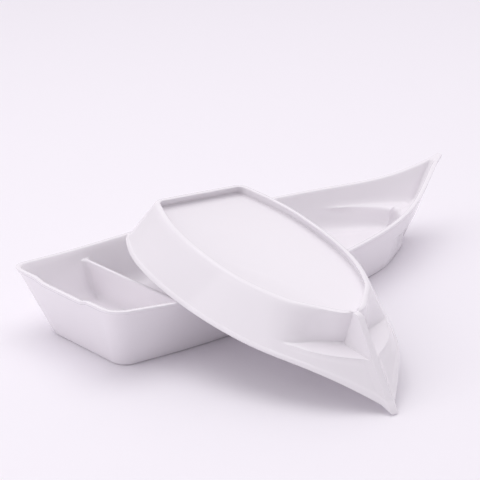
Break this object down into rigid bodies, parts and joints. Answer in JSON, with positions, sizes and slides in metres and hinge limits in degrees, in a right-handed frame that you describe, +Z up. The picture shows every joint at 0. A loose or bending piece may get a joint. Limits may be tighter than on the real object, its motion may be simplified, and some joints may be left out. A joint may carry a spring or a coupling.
{
  "type": "chip and dip server",
  "caption": "Glossy white boat-shaped chip and dip server: a divided dish with a pointed, raised bow, and a smaller matching dish laid upside down across its side rim.",
  "frame": {"origin": "on the table, in the middle of the stern bar of the large dish's foot ring", "axes": "+X from the large dish's stern to its bow, +Y to its left side, +Z up"},
  "size_m": [0.4, 0.312, 0.0934],
  "materials": {
    "melamine": "moulded gloss white with a faint cool tint"
  },
  "bodies": {
    "large": {"large_dish": "melamine"},
    "small": {"small_dish": "melamine"}
  },
  "joints": [
    {"name": "lift_off", "type": "slide", "parent": "large", "child": "small", "axis": [0, 0, 1], "range_m": [0, 0.12]}
  ]
}
